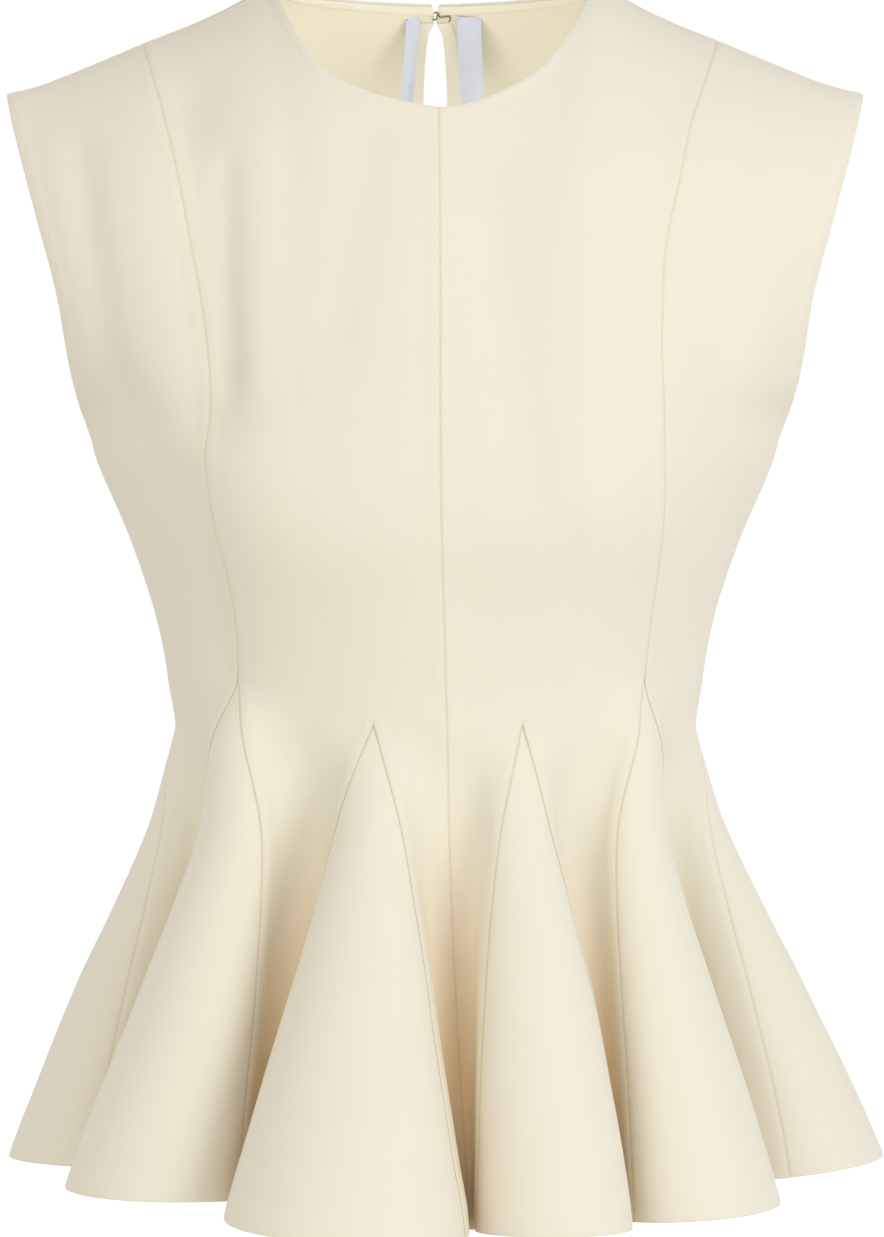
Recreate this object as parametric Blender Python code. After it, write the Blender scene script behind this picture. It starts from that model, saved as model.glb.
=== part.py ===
"""Sleeveless fitted top with a flared hem, as worn, with no wearer in it.

Eight shaped panels and ten godets hang from the shoulders. Each piece of cloth is cut flat as a grid, given
its thickness, and then laid on one smooth worn surface, so that neighbours meet edge to edge at the seams.

Sizes are in millimetres here and in metres in the scene. +Z is up, the front faces -Y, and the origin is on
the centre line at the height of the neck points, where the shoulders carry the top.
"""

import math
from typing import NamedTuple

import bmesh
import bpy
import numpy as np

MM = 0.001
OBJECT_NAME = "flared_hem_top"

# Cloth and trim
WALL = 2.0
SEAM_HALF_GAP = 0.22
TRIM_GAP = 0.45
TRIM_WALL = 0.8
BAND_HEIGHT = 6.0
STRIP_WIDTH = 7.0
LABEL_WALL = 0.5
WIRE = 0.9

# Heights
UNDERARM = -205.0
SPLIT = -330.0
HEM_LEVEL = -565.0
SHOULDER_ROUND = 88.0
NECK_POINT_X = 80.0
PRINCESS_SHOULDER_X = 139.0
TIP_X = 204.0

# The body ring at each height: half its width, and how far the front and the back stand from the centre.
RING = (
    # height, half_width, front, back
    (30.0, 244.0, 70.0, 78.0),
    (0.0, 240.0, 76.0, 84.0),
    (-51.5, 232.0, 84.0, 98.0),
    (-92.0, 222.0, 96.0, 107.0),
    (-128.0, 210.0, 105.0, 110.0),
    (-168.0, 190.5, 114.0, 109.0),
    (-195.0, 175.5, 119.0, 107.0),
    (-205.0, 168.5, 120.5, 106.0),
    (-225.0, 160.5, 122.5, 104.0),
    (-263.0, 144.5, 120.0, 99.0),
    (-301.0, 132.5, 108.0, 94.0),
    (-340.0, 126.0, 99.0, 91.0),
    (-359.0, 125.5, 98.0, 92.0),
    (-397.0, 126.5, 103.0, 98.0),
    (-435.0, 134.5, 114.0, 109.0),
    (-473.0, 146.5, 128.0, 123.0),
    (-511.0, 160.0, 143.0, 138.0),
    (-554.0, 175.0, 159.0, 154.0),
    (-600.0, 188.0, 173.0, 168.0),
)

# The shoulder line seen from the front. Its inner rows carry the surface on over the neck opening.
SHOULDER = (
    # x, height
    (0.0, 24.0),
    (40.0, 15.0),
    (NECK_POINT_X, 0.0),
    (110.0, -14.5),
    (135.0, -25.0),
    (157.0, -34.0),
    (183.0, -44.0),
    (TIP_X, -51.5),
    (230.0, -60.0),
)

# The edge of the armhole seen from the front.
ARMHOLE = (
    # height, x
    (-51.5, TIP_X),
    (-72.5, 199.5),
    (-111.0, 189.0),
    (-149.0, 178.5),
    (-187.0, 171.5),
    (UNDERARM, 168.5),
)

FRONT_NECK = (
    # x, height
    (0.0, -57.2),
    (17.0, -54.4),
    (32.0, -49.8),
    (45.0, -43.0),
    (57.0, -33.0),
    (66.0, -20.0),
    (72.5, -8.0),
    (NECK_POINT_X, 0.0),
)

BACK_NECK = (
    # x, height
    (0.0, -8.0),
    (25.0, -7.6),
    (50.0, -5.6),
    (68.0, -2.6),
    (NECK_POINT_X, 0.0),
)

# The princess seam of one side, from the shoulder to where its godet starts.
FRONT_PRINCESS = (
    # height, x
    (-26.5, PRINCESS_SHOULDER_X),
    (-34.0, 137.0),
    (-84.0, 124.0),
    (-125.0, 117.5),
    (-156.0, 112.0),
    (-193.0, 108.0),
    (-228.0, 106.5),
    (-260.0, 102.5),
    (-301.0, 97.0),
    (SPLIT, 96.0),
)

BACK_PRINCESS = (
    # height, x
    (-26.5, PRINCESS_SHOULDER_X),
    (-60.0, 132.0),
    (-110.0, 119.0),
    (-170.0, 105.0),
    (-230.0, 97.0),
    (-290.0, 93.0),
    (SPLIT, 94.0),
)

# The keyhole of the centre back, as half its width.
KEYHOLE = (
    # height, half_width
    (-8.0, 0.9),
    (-14.0, 1.2),
    (-22.0, 4.6),
    (-32.0, 5.6),
    (-90.0, 5.6),
    (-99.0, 4.6),
    (-105.0, 0.15),
)

# The valleys between the godets: their bearing from the centre front, at the waist and at the hem.
VALLEYS = (
    # number, waist_degrees, hem_degrees
    (-5, -180.0, -180.0),
    (-4, -146.0, -144.0),
    (-3, -109.5, -107.5),
    (-2, -70.5, -74.0),
    (-1, -34.0, -35.0),
    (0, 0.0, 3.5),
    (1, 34.0, 31.0),
    (2, 70.5, 66.0),
    (3, 109.5, 108.0),
    (4, 146.0, 148.0),
    (5, 180.0, 180.0),
)

# A godet fills the space between a valley and the next one.
GODETS = (
    # name, height of its point, width at the hem, steepest fold at the hem
    ("godet_back_centre_left", -350.0, 112.0, 99.0),
    ("godet_back_princess_left", -330.0, 118.0, 101.0),
    ("godet_side_left", -350.0, 106.0, 99.0),
    ("godet_front_princess_left", -330.0, 126.0, 102.0),
    ("godet_front_centre_left", -350.0, 124.0, 101.0),
    ("godet_front_centre_right", -350.0, 88.0, 99.0),
    ("godet_front_princess_right", -330.0, 108.0, 100.0),
    ("godet_side_right", -350.0, 124.0, 100.0),
    ("godet_back_princess_right", -330.0, 122.0, 102.0),
    ("godet_back_centre_right", -350.0, 104.0, 98.0),
)
POINT_WIDTH = 1.6
FOLD_ONSET = 0.22
LOBE_SHARE_TOP = 0.34
LOBE_SHARE_HEM = 0.88
FOLD_INWARD = 0.46

# The hem is a little longer at the front and the back than at the sides.
HEM_SIDE = -556.0
HEM_FRONT = -576.0
HEM_BACK = -572.0

# The cut gives the bust its fullness along the princess seams.
BUST_X = 84.0
BUST_HEIGHT = -246.0
BUST_FULLNESS = 11.0

# Rows of the cut: heights at the centre front and the centre back, then those below the split
FRONT_ROWS = (
    *(-57.2, -70.0, -88.0, -108.0, -130.0, -154.0, -180.0),
    *(-206.0, -232.0, -258.0, -284.0, -308.0, SPLIT),
)
BACK_ROWS = (
    *(-8.0, -14.3, -22.0, -33.0, -60.0, -88.0, -98.0, -105.0),
    *(-140.0, -178.0, -216.0, -254.0, -292.0, SPLIT),
)
LOWER_ROWS = (SPLIT, -340.0, -350.0, -361.0, -376.0, -397.0, -424.0, -456.0, -492.0, -529.0, HEM_LEVEL)

# Columns of the cut between a valley and the next godet's edge, evenly and crowded into the fold at the hem
EVEN_COLUMNS = (0.0, 0.25, 0.5, 0.75, 1.0)
FOLD_COLUMNS = (0.0, 0.1, 0.28, 0.6, 1.0)
HALF_CELL_COLUMNS = len(EVEN_COLUMNS) - 1
GODET_COLUMNS = 8
NECK_COLUMN = 8
SIDE_SEAM_ROWS = 4

# Labels at the back of the neck, hanging side by side. They are bare.
LABELS = (
    # name, x at the top, x at the bottom, width, turn at the bottom in degrees
    ("neck_label_left", -11.2, -14.2, 7.2, 25.0),
    ("neck_label_right", 16.9, 18.4, 12.2, 8.0),
)
LABEL_TOP = -12.5
LABEL_LENGTH = 41.0
LABEL_SEAT = 0.3  # the share of the back's first row of quads at which the labels are sewn on
HOOK_HEIGHT = -11.0
HOOK_STAND_OFF = 2.0

CREAM = (0.83, 0.78, 0.65)
PALE_CREAM = (0.86, 0.81, 0.69)
SATIN_WHITE = (0.78, 0.79, 0.86)
BRIGHT_STEEL = (0.62, 0.61, 0.58)


class Half(NamedTuple):
    """What the front and the back of the cut differ in, for the wearer's left side."""

    back: bool
    centre: float  # the ring places of the centre seam, the slit and the princess seam
    slit: float
    seam: float
    rows: tuple
    neck: tuple
    princess: tuple


FRONT = Half(False, 0.0, 0.5, 1.5, FRONT_ROWS, FRONT_NECK, FRONT_PRINCESS)
BACK = Half(True, 5.0, 4.5, 3.5, BACK_ROWS, BACK_NECK, BACK_PRINCESS)
SIDE_SEAM = 2.5


def column(table, number):
    """One column of a table, as an array."""
    return np.array([row[number] for row in table], float)


def smooth(at, knots, values):
    """A smooth curve through the knots of a table, read at one or more places."""
    at = np.asarray(at, float)
    if knots[0] > knots[-1]:
        knots, values = knots[::-1], values[::-1]
    slopes = np.gradient(values, knots)
    at = np.clip(at, knots[0], knots[-1])
    i = np.clip(np.searchsorted(knots, at) - 1, 0, len(knots) - 2)
    width = knots[i + 1] - knots[i]
    t = (at - knots[i]) / width
    start = values[i] * (1 + 2 * t) * (1 - t) ** 2 + slopes[i] * width * t * (1 - t) ** 2
    end = values[i + 1] * t * t * (3 - 2 * t) - slopes[i + 1] * width * t * t * (1 - t)
    return start + end


def ring_sizes(height):
    """Half width, front depth and back depth of the body ring."""
    return [smooth(height, column(RING, 0), column(RING, i)) for i in (1, 2, 3)]


def shoulder_height(x):
    return smooth(np.abs(x), column(SHOULDER, 0), column(SHOULDER, 1))


def valley_bearings(height):
    """The bearing in radians of every valley at a height; an array has one more axis."""
    share = np.clip((SPLIT - height) / (SPLIT - HEM_LEVEL), 0, 1.1)[..., None]
    return np.radians(column(VALLEYS, 1) + (column(VALLEYS, 2) - column(VALLEYS, 1)) * share)


def godet_number(place):
    """The row of GODETS that fills the space at a place on the ring."""
    return np.clip(np.floor(place).astype(int), -5, 4) + 5


def below_point(point, height):
    """How far down its godet a height is, from 0 at the godet's point to 1 at the hem."""
    return np.clip((point - height) / (point - HEM_LEVEL), 0, 1.08)


def folds(height):
    """Of all ten godets at a height: the ring's length, the steepest angle, the lobe's share and the swing.

    The ring's bearings at the eleven valleys and how far in they lie come with them.
    """
    bearings = valley_bearings(height)
    before, after = bearings[..., :-1], bearings[..., 1:]
    half_width, front, back = (size[..., None] for size in ring_sizes(height))
    middle = (before + after) / 2
    depth = np.where(np.cos(middle) > 0, front, back)
    pitch = np.hypot(half_width * np.cos(middle), depth * np.sin(middle)) * (after - before)
    down = below_point(column(GODETS, 1), height[..., None])
    growth = (1 - np.exp(-(down**2) / (down + 0.05) / FOLD_ONSET)) / (1 - math.exp(-1 / FOLD_ONSET))
    steepest = np.maximum(np.radians(column(GODETS, 3)) * growth, 1e-3)
    lobe = LOBE_SHARE_TOP + (LOBE_SHARE_HEM - LOBE_SHARE_TOP) * np.minimum(down, 1)
    swing = pitch * np.tan(steepest / 2) / 2
    inward = FOLD_INWARD * (swing + np.roll(swing, 1, -1)) / 2
    return pitch, steepest, lobe, swing, bearings, np.concatenate([inward, inward[..., :1]], -1)


def worn_surface(place, height):
    """The outer face of the cloth, from a place on the ring (-5 to 5) and a height."""
    place, height = np.broadcast_arrays(np.asarray(place, float), np.asarray(height, float))
    cell = godet_number(place)
    along = place + 5 - cell

    def here(values, later=0):
        return np.take_along_axis(values, cell[..., None] + later, -1)[..., 0]

    pitch, steepest, lobe, swing, bearings, inward = folds(height)
    pitch, steepest, lobe, swing = here(pitch), here(steepest), here(lobe), here(swing)
    before, after = here(bearings), here(bearings, 1)
    radii = pitch / (2 * np.sin(steepest))
    # The cloth turns outward in the valley, back over the lobe, and outward again into the next valley.
    valley = (1 - lobe) / 2
    from_end = np.minimum(along, 1 - along)
    in_valley = from_end < valley
    angle = np.where(in_valley, steepest * from_end / valley, steepest * (1 - 2 * (from_end - valley) / lobe))
    bend = np.where(in_valley, (1 - lobe) * radii, -lobe * radii)
    run = bend * np.sin(angle) + np.where(in_valley, 0, pitch / 2)
    rise = bend * (1 - np.cos(angle)) + np.where(in_valley, 0, swing)
    run = np.where(along > 0.5, pitch - run, run) / pitch
    rise = rise - here(inward) * (1 - run) - here(inward, 1) * run
    bearing = before + (after - before) * run
    half_width, front, back = ring_sizes(height)
    depth = np.where(np.cos(bearing) > 0, front, back)
    x, y = half_width * np.sin(bearing), -depth * np.cos(bearing)
    out_x, out_y = depth * np.sin(bearing), -half_width * np.cos(bearing)
    length = np.hypot(out_x, out_y)
    bust = np.exp(-(((np.abs(x) - BUST_X) / 44) ** 2) - ((height - BUST_HEIGHT) / 52) ** 2)
    rise = rise + BUST_FULLNESS * bust * np.maximum(np.cos(bearing), 0)
    x, y = x + out_x / length * rise, y + out_y / length * rise
    drop = np.clip(shoulder_height(x) - height, 0, SHOULDER_ROUND)
    y = y * np.sqrt(1 - ((SHOULDER_ROUND - drop) / SHOULDER_ROUND) ** 2)
    return np.stack([x, y, height], -1)


def outward(place, height):
    """The direction out of the cloth at a place."""
    step = 0.004
    across = worn_surface(place + step, height) - worn_surface(place - step, height)
    down = worn_surface(place, height - 0.6) - worn_surface(place, height)
    normal = np.cross(down, across)
    return normal / np.linalg.norm(normal, axis=-1, keepdims=True)


def godet_half(number, row):
    """Half the share of its cell's cloth that a godet takes at a row, and 0 above its point."""
    name, point, hem_width, steepest = GODETS[number]
    height = LOWER_ROWS[row]
    if height > point:
        return 0.0
    pitch, fold_angle = (values[number] for values in folds(np.array(height))[:2])
    cloth_length = pitch * fold_angle / np.sin(fold_angle)
    width = POINT_WIDTH + (hem_width - POINT_WIDTH) * below_point(point, height)
    return float(width / cloth_length / 2)


def row_height(row, place):
    """The height of a row below the split. The last row is the hem, a little longer at the front and back."""
    bearing = np.interp(place, column(VALLEYS, 0), np.radians(column(VALLEYS, 2)))
    ends = np.where(np.cos(bearing) > 0, HEM_FRONT, HEM_BACK)
    hem = HEM_SIDE + (ends - HEM_SIDE) * np.cos(bearing) ** 2
    down = (SPLIT - LOWER_ROWS[row]) / (SPLIT - HEM_LEVEL)
    return LOWER_ROWS[row] + (hem - HEM_LEVEL) * down**2


def on_ring(x, height, back):
    """A line of (place, height) points of the upper body, from x as seen from the front."""
    half_width = ring_sizes(height)[0]
    bearing = np.arcsin(np.clip(x / half_width, 0, 1))
    bearing = math.pi - bearing if back else bearing
    return np.stack([np.interp(bearing, np.radians(column(VALLEYS, 1)), column(VALLEYS, 0)), height], -1)


def shared_out(line, shares):
    """Points at shares of the length of a line of (place, height) points, measured on the cloth."""
    on_cloth = worn_surface(line[:, 0], line[:, 1])
    along = np.concatenate([[0], np.cumsum(np.linalg.norm(np.diff(on_cloth, axis=0), axis=1))])
    return np.stack([np.interp(shares * along[-1], along, line[:, i]) for i in (0, 1)], -1)


def neck_line(half):
    x = np.linspace(KEYHOLE[0][1] if half.back else 0, NECK_POINT_X, 80)
    return on_ring(x, smooth(x, column(half.neck, 0), column(half.neck, 1)), half.back)


def shoulder_line(half, start_x, end_x):
    x = np.linspace(start_x, end_x, 60)
    return on_ring(x, shoulder_height(x), half.back)


def princess_line(half):
    """The princess seam from the shoulder to the split, where it meets its godet's point."""
    height = np.linspace(half.princess[0][0], SPLIT, 120)
    line = on_ring(smooth(height, column(half.princess, 0), column(half.princess, 1)), height, half.back)
    near_split = np.clip((-250.0 - height) / (-250.0 - SPLIT), 0, 1) ** 2
    line[:, 0] += near_split * (half.seam - line[-1, 0])
    return line


def armhole_line(half):
    """The rows' ends on the armhole, from the shoulder to the underarm, and on the side seam below it."""
    turn = np.linspace(0, math.pi, len(half.rows) - SIDE_SEAM_ROWS)
    top = ARMHOLE[0][0]
    height = (top + UNDERARM) / 2 + (top - UNDERARM) / 2 * np.cos(turn)
    edge = on_ring(smooth(height, column(ARMHOLE, 0), column(ARMHOLE, 1)), height, half.back)
    edge[-1, 0] = SIDE_SEAM
    side = np.linspace(UNDERARM, SPLIT, SIDE_SEAM_ROWS + 1)[1:]
    return np.concatenate([edge, np.stack([np.full(len(side), SIDE_SEAM), side], -1)])


def centre_line(half):
    """The centre seam at each row. On the back it runs round the edge of the keyhole."""
    height = np.array(half.rows)
    if not half.back:
        return np.stack([np.zeros(len(height)), height], -1)
    opening = np.interp(height, column(KEYHOLE, 0)[::-1], column(KEYHOLE, 1)[::-1])
    return on_ring(np.where(height < KEYHOLE[-1][0], 0, opening), height, True)


def patch(left, right, top, bottom, across, down):
    """A smooth grid between four edges, each a line of (place, height) points."""
    left, right, top, bottom = left[:, None], right[:, None], top[None], bottom[None]
    a, b = across[None, :, None], down[:, None, None]
    corners = (1 - b) * ((1 - a) * left[:1] + a * right[:1]) + b * ((1 - a) * left[-1:] + a * right[-1:])
    return (1 - a) * left + a * right + (1 - b) * top + b * bottom - corners


def columns_between(start, end, fold_at, crowding):
    """Places of the columns between a valley and a godet's edge, or between two edges round a valley."""
    shares = np.array(EVEN_COLUMNS) * (1 - crowding) + np.array(FOLD_COLUMNS) * crowding
    if fold_at == start:
        return start + (end - start) * shares
    before = fold_at + (start - fold_at) * shares[::-1]
    return np.concatenate([before, (fold_at + (end - fold_at) * shares)[1:]])


def panel_grid(half, side, centre):
    """The (place, height) grid of a centre or side panel, on the right (1) or left (-1)."""
    toward = -1 if half.back else 1
    rows = []
    for row, level in enumerate(LOWER_ROWS):
        crowding = (SPLIT - level) / (SPLIT - HEM_LEVEL)
        seam_half = godet_half(int(godet_number(np.array(side * half.seam))), row) * toward
        slit_half = godet_half(int(godet_number(np.array(side * half.slit))), max(row, 2)) * toward
        side_half = godet_half(int(godet_number(np.array(side * SIDE_SEAM))), row) * toward
        if centre:
            near = columns_between(half.centre, half.slit - slit_half, half.centre, crowding)
            valley = (half.slit + half.seam) / 2
            far = columns_between(half.slit + slit_half, half.seam - seam_half, valley, crowding)
            place = np.concatenate([near, far])
        else:
            valley = (half.seam + SIDE_SEAM) / 2
            place = columns_between(half.seam + seam_half, SIDE_SEAM - side_half, valley, crowding)
        rows.append(np.stack([side * place, row_height(row, side * place)], -1))
    lower = np.array(rows)
    across = np.abs(lower[0, :, 0] - lower[0, 0, 0]) / np.abs(lower[0, -1, 0] - lower[0, 0, 0])
    down = (np.array(half.rows) - half.rows[0]) / (SPLIT - half.rows[0])
    if centre:
        corner = across[NECK_COLUMN]
        neck = shared_out(neck_line(half), np.clip(across / corner, 0, 1))
        shoulder = shoulder_line(half, NECK_POINT_X, PRINCESS_SHOULDER_X)
        shoulder = shared_out(shoulder, np.clip((across - corner) / (1 - corner), 0, 1))
        top = np.where((across <= corner)[:, None], neck, shoulder)
        left, right = centre_line(half), shared_out(princess_line(half), down)
    else:
        top = shared_out(shoulder_line(half, PRINCESS_SHOULDER_X, TIP_X), across)
        left, right = shared_out(princess_line(half), down), armhole_line(half)
    bottom = lower[0] * (side, 1)
    upper = patch(left, right, top, bottom, across, down) * (side, 1)
    return np.concatenate([upper[:-1], lower])


def godet_grid(number):
    """The (place, height) grid of a godet, from its point to the hem."""
    middle = number - 4.5
    rows = []
    for row, level in enumerate(LOWER_ROWS):
        if level <= GODETS[number][1]:
            half = godet_half(number, row)
            place = np.linspace(middle - half, middle + half, GODET_COLUMNS + 1)
            rows.append(np.stack([place, row_height(row, place)], -1))
    return np.array(rows)


def direction(start, end):
    way = end - start
    return way / np.linalg.norm(way, axis=-1, keepdims=True)


def wall_of(grid, seams, shoulder=None, slit_row=None):
    """The outer points of a piece and its directions outward, set back by half a gap at its seams.

    A panel's shoulder is the first of its columns there and the side, front (-1) or back (1), that it is on.
    """
    points, normals = worn_surface(grid[..., 0], grid[..., 1]), outward(grid[..., 0], grid[..., 1])
    moved = points.copy()
    if "left" in seams:
        moved[:, 0] += direction(points[:, 0], points[:, 1]) * SEAM_HALF_GAP
    if "right" in seams:
        moved[:, -1] += direction(points[:, -1], points[:, -2]) * SEAM_HALF_GAP
    if "top" in seams:
        moved[0] += direction(points[0], points[1]) * SEAM_HALF_GAP
    if slit_row is not None:
        edge = HALF_CELL_COLUMNS
        moved[slit_row:, edge] += direction(points[slit_row:, edge], points[slit_row:, edge - 1]) * SEAM_HALF_GAP
        other = direction(points[slit_row:, edge + 1], points[slit_row:, edge + 2])
        moved[slit_row:, edge + 1] += other * SEAM_HALF_GAP
        up = direction(points[slit_row, edge : edge + 2], points[slit_row - 1, edge : edge + 2])
        moved[slit_row, edge : edge + 2] += up * SEAM_HALF_GAP
    if shoulder:
        moved[0, shoulder[0] :, 1] = shoulder[1] * SEAM_HALF_GAP
        normals[0, shoulder[0] :, 1] = 0
        normals /= np.linalg.norm(normals, axis=-1, keepdims=True)
    return moved, normals


def material(name, colour, roughness, metallic=0.0):
    made = bpy.data.materials.new(name)
    made.use_nodes = True
    shader = made.node_tree.nodes["Principled BSDF"]
    shader.inputs["Base Color"].default_value = (*colour, 1)
    shader.inputs["Roughness"].default_value = roughness
    shader.inputs["Metallic"].default_value = metallic
    return made


def add_object(name, data, colour, roughness, metallic=0.0):
    made = bpy.data.objects.new(name, data)
    made.data.materials.append(material(name, colour, roughness, metallic))
    bpy.data.collections[OBJECT_NAME].objects.link(made)
    return made


def cloth(name, points, normals, colour, start=0.0, thickness=WALL, slit_row=None):
    """A piece cut flat as a grid, with its slit, given a thickness and laid on its points."""
    rows, columns = points.shape[0] - 1, points.shape[1] - 1
    bm = bmesh.new()
    bmesh.ops.create_grid(bm, x_segments=columns, y_segments=rows, size=0.5)
    if slit_row is not None:
        in_slit = [
            face
            for face in bm.faces
            if HALF_CELL_COLUMNS < (face.calc_center_median().x + 0.5) * columns < HALF_CELL_COLUMNS + 1
            and (0.5 - face.calc_center_median().y) * rows > slit_row
        ]
        bmesh.ops.delete(bm, geom=in_slit, context="FACES")
    raised = bmesh.ops.extrude_face_region(bm, geom=bm.faces[:], use_keep_orig=True)
    for item in raised["geom"]:
        if isinstance(item, bmesh.types.BMVert):
            item.co.z = 1
    for vertex in bm.verts:
        across, down = round((vertex.co.x + 0.5) * columns), round((0.5 - vertex.co.y) * rows)
        depth = start if vertex.co.z > 0.5 else start + thickness
        vertex.co = (points[down, across] - normals[down, across] * depth) * MM
    bmesh.ops.recalc_face_normals(bm, faces=bm.faces[:])
    if bm.calc_volume(signed=True) < 0:
        bmesh.ops.reverse_faces(bm, faces=bm.faces[:])
    mesh = bpy.data.meshes.new(name)
    bm.to_mesh(mesh)
    bm.free()
    mesh.shade_smooth()
    mesh.set_sharp_from_angle(angle=math.radians(50))
    return add_object(name, mesh, colour, 0.85)


def crossing(points, normals, axis, shares):
    """Points at shares of the way from the first row or column of a panel's wall to the next one."""
    first, second = np.take(points, [0], axis), np.take(points, [1], axis)
    first_out, second_out = np.take(normals, [0], axis), np.take(normals, [1], axis)
    shares = np.expand_dims(np.array(shares), tuple(i for i in range(3) if i != axis))
    return first + (second - first) * shares, first_out + (second_out - first_out) * shares


def neck_band(name, points, normals):
    """The turned edge of the neckline, seen inside the back."""
    height = np.linalg.norm(points[1] - points[0], axis=-1).mean()
    part = slice(0, NECK_COLUMN + 1)
    band, out = crossing(points[:2, part], normals[:2, part], 0, (0, BAND_HEIGHT / height))
    cloth(name, band, out, PALE_CREAM, WALL + TRIM_GAP, TRIM_WALL)


def keyhole_strip(name, points, normals):
    """The turned strip along one edge of the keyhole, below the neck band."""
    rows = slice(1, BACK_ROWS.index(KEYHOLE[-1][0]) + 1)
    width = np.linalg.norm(points[rows, 1] - points[rows, 0], axis=-1).mean()
    strip, out = crossing(points[rows, :2], normals[rows, :2], 1, (0, STRIP_WIDTH / width))
    cloth(name, strip, out, PALE_CREAM, WALL + TRIM_GAP, TRIM_WALL)


def label(name, x, lower_x, width, turn, back_face):
    """A satin label, sewn at its top to the neck band and hanging free."""
    down = np.linspace(0, 1, 6)[:, None]
    half = np.array([-0.5, 0.5])[None] * width
    middle = x + (lower_x - x) * down**1.5
    lean = 2.0 * np.sin(down * math.pi)
    points = np.stack(
        [
            middle + half * np.cos(turn * down),
            back_face - lean - np.abs(half * np.sin(turn * down)),
            np.broadcast_to(LABEL_TOP - LABEL_LENGTH * down, (len(down), 2)),
        ],
        -1,
    )
    normals = np.broadcast_to(np.array([0.0, 1.0, 0.0]), points.shape)
    cloth(name, points, normals, SATIN_WHITE, 0.0, LABEL_WALL)


def wire(name, path):
    """A piece of round wire along a path."""
    curve = bpy.data.curves.new(name, "CURVE")
    curve.dimensions = "3D"
    curve.bevel_depth = WIRE / 2 * MM
    curve.bevel_resolution = 2
    curve.use_fill_caps = True
    spline = curve.splines.new("POLY")
    spline.points.add(len(path) - 1)
    for point, place in zip(spline.points, path):
        point.co = (*(np.array(place) * MM), 1)
    add_object(name, curve, BRIGHT_STEEL, 0.3, 1.0)


def arc(middle, radius, start, end, count):
    """Points of an arc seen from the front, with angles in degrees from +X."""
    turn = np.radians(np.linspace(start, end, count))
    return [(middle[0] + radius * math.cos(a), middle[1], middle[2] + radius * math.sin(a)) for a in turn]


def hook_and_eye(band_face):
    """A hook on the left edge, caught in an eye on the right edge, both on the neck band."""
    y = band_face - TRIM_GAP - WIRE / 2
    eye = arc((6.2, y, HOOK_HEIGHT + 3.4), 1.4, 60, -180, 7)
    eye += arc((1.2, y, HOOK_HEIGHT), 2.0, 90, 270, 8)
    eye += arc((6.2, y, HOOK_HEIGHT - 3.4), 1.4, 180, 300, 7)
    wire("neck_eye", eye)
    over = y - WIRE - TRIM_GAP
    hook = arc((-5.6, y, HOOK_HEIGHT - 1.2), 1.2, -200, 90, 8)
    hook += [(-4.4, y, HOOK_HEIGHT), (-3.0, over + 0.3, HOOK_HEIGHT), (-1.8, over, HOOK_HEIGHT)]
    hook += [(0.1, over, HOOK_HEIGHT), (0.8, over + 0.35, HOOK_HEIGHT), (1.0, y + 0.1, HOOK_HEIGHT)]
    wire("neck_hook", hook)


def main():
    for old in list(bpy.data.objects):
        bpy.data.objects.remove(old, do_unlink=True)
    collection = bpy.data.collections.new(OBJECT_NAME)
    bpy.context.scene.collection.children.link(collection)

    for half, word in ((FRONT, "front"), (BACK, "back")):
        slit_row = len(half.rows) - 1 + LOWER_ROWS.index(GODETS[4][1])
        facing = 1 if half.back else -1
        for side, hand in ((-1, "left"), (1, "right")):
            grid = panel_grid(half, side, centre=True)
            points, normals = wall_of(grid, ("left", "right"), (NECK_COLUMN, facing), slit_row)
            cloth(f"{word}_centre_{hand}", points, normals, CREAM, slit_row=slit_row)
            if half.back:
                neck_band(f"neck_band_{hand}", points, normals)
                keyhole_strip(f"keyhole_strip_{hand}", points, normals)
                row, out = crossing(points[:2], normals[:2], 0, [LABEL_SEAT])
                band = (row - out * (WALL + TRIM_GAP + TRIM_WALL))[0, : NECK_COLUMN + 1]
            points, normals = wall_of(panel_grid(half, side, centre=False), ("left", "right"), (0, facing))
            cloth(f"{word}_side_{hand}", points, normals, CREAM)

    for number, godet in enumerate(GODETS):
        points, normals = wall_of(godet_grid(number), ("left", "right", "top"))
        cloth(godet[0], points, normals, CREAM)

    for name, x, lower_x, width, turn in LABELS:
        face = np.interp(abs(x) + width / 2, np.abs(band[:, 0]), band[:, 1])
        label(name, x, lower_x, width, math.radians(turn), face - TRIM_GAP)
    hook_and_eye(band[0, 1] - HOOK_STAND_OFF)


main()
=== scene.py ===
"""Looks of the sleeveless top with a flared hem: cream double knit, cut, sewn and worn.

Every panel and godet is laid on the same worn surface as its solid, in the same sizes, and gets its seams,
turned edges and soft creases here. Tables and points are in millimetres, and meshes in metres.
"""

import math
from typing import NamedTuple

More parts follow.
